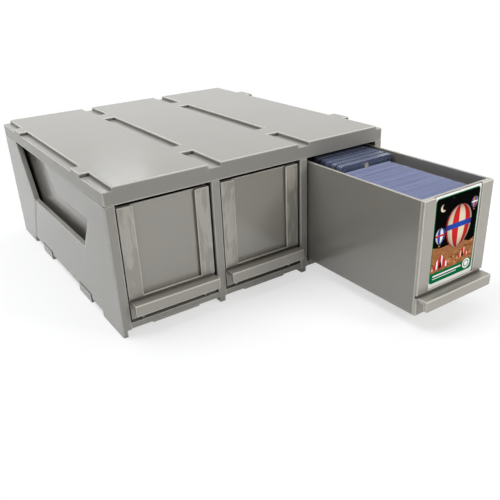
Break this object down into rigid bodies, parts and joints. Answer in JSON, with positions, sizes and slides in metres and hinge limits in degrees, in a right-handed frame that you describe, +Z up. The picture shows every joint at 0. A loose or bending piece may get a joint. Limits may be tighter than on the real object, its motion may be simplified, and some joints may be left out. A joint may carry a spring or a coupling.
{
  "type": "card storage box with drawers",
  "caption": "Stackable desktop cabinet with side-by-side pull-out drawers for trading cards, label-card fronts, side windows and interlocking feet.",
  "frame": {"origin": "centre of the whole object's footprint, with the right drawer open as pictured, on the surface it stands on", "axes": "+X to the right seen from the front, +Y from the drawer fronts to the back, +Z up"},
  "size_m": [0.325, 0.4982, 0.1478],
  "materials": {
    "shell_grey": "warm grey moulded plastic, semi-gloss",
    "drawer_grey": "warm grey moulded plastic, semi-gloss",
    "printed_card": "coated printed card",
    "sleeve_clear": "clear bluish rigid vinyl",
    "holder_clear": "clear polished acrylic",
    "magnet_metal": "bright plated disc"
  },
  "bodies": {
    "cabinet": {"top_panel": "shell_grey", "left_side_panel": "shell_grey", "right_side_panel": "shell_grey", "left_divider": "shell_grey", "right_divider": "shell_grey", "base_panel": "shell_grey", "back_panel": "shell_grey"},
    "left_drawer": {"left_drawer_tray": "drawer_grey", "left_label_frame": "drawer_grey"},
    "middle_drawer": {"middle_drawer_tray": "drawer_grey", "middle_label_frame": "drawer_grey"},
    "right_drawer": {"right_drawer_tray": "drawer_grey", "right_label_frame": "drawer_grey", "label_card": "printed_card", "rigid_sleeves": "sleeve_clear", "holder_fronts": "holder_clear", "holder_backs": "holder_clear", "holder_cards": "printed_card", "holder_magnets": "magnet_metal"}
  },
  "joints": [
    {"name": "left_drawer_slide", "type": "slide", "parent": "cabinet", "child": "left_drawer", "axis": [0, -1, 0], "range_m": [0, 0.24]},
    {"name": "middle_drawer_slide", "type": "slide", "parent": "cabinet", "child": "middle_drawer", "axis": [0, -1, 0], "range_m": [0, 0.24]},
    {"name": "right_drawer_slide", "type": "slide", "parent": "cabinet", "child": "right_drawer", "axis": [0, -1, 0], "range_m": [-0.1548, 0.0852]}
  ]
}
